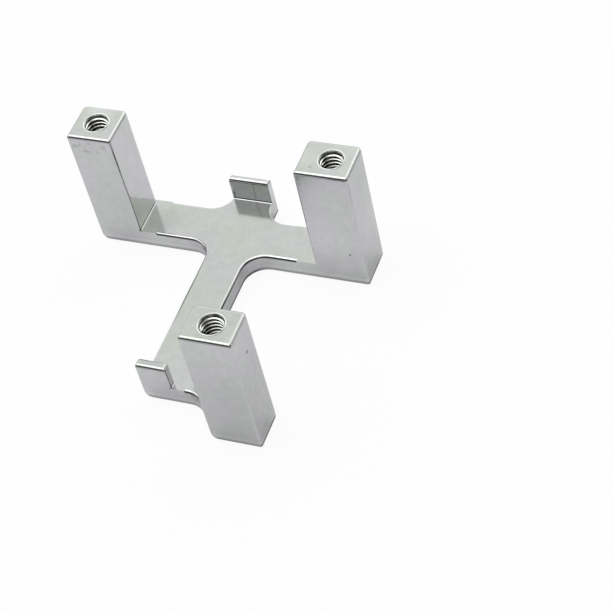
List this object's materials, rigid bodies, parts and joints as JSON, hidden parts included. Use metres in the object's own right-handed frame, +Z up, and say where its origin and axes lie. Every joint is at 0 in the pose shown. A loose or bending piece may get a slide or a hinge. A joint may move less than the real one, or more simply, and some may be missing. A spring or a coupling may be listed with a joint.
{
  "type": "servo bracket",
  "caption": "Small machined aluminium bracket: flat T-shaped plate with upright posts, each tapped on top, and low locating tabs at the stem's ends.",
  "frame": {"origin": "middle of the outline's bounding box, on the underside", "axes": "+Z up through the posts and out of the tapped holes, +X along the crossbar from the left post to the right post, +Y from the front post towards the far tab"},
  "size_m": [0.0264, 0.0256, 0.0132],
  "materials": {
    "aluminium": "bright, finely machined, clear"
  },
  "bodies": {
    "root": {"servo_bracket": "aluminium"}
  },
  "joints": []
}
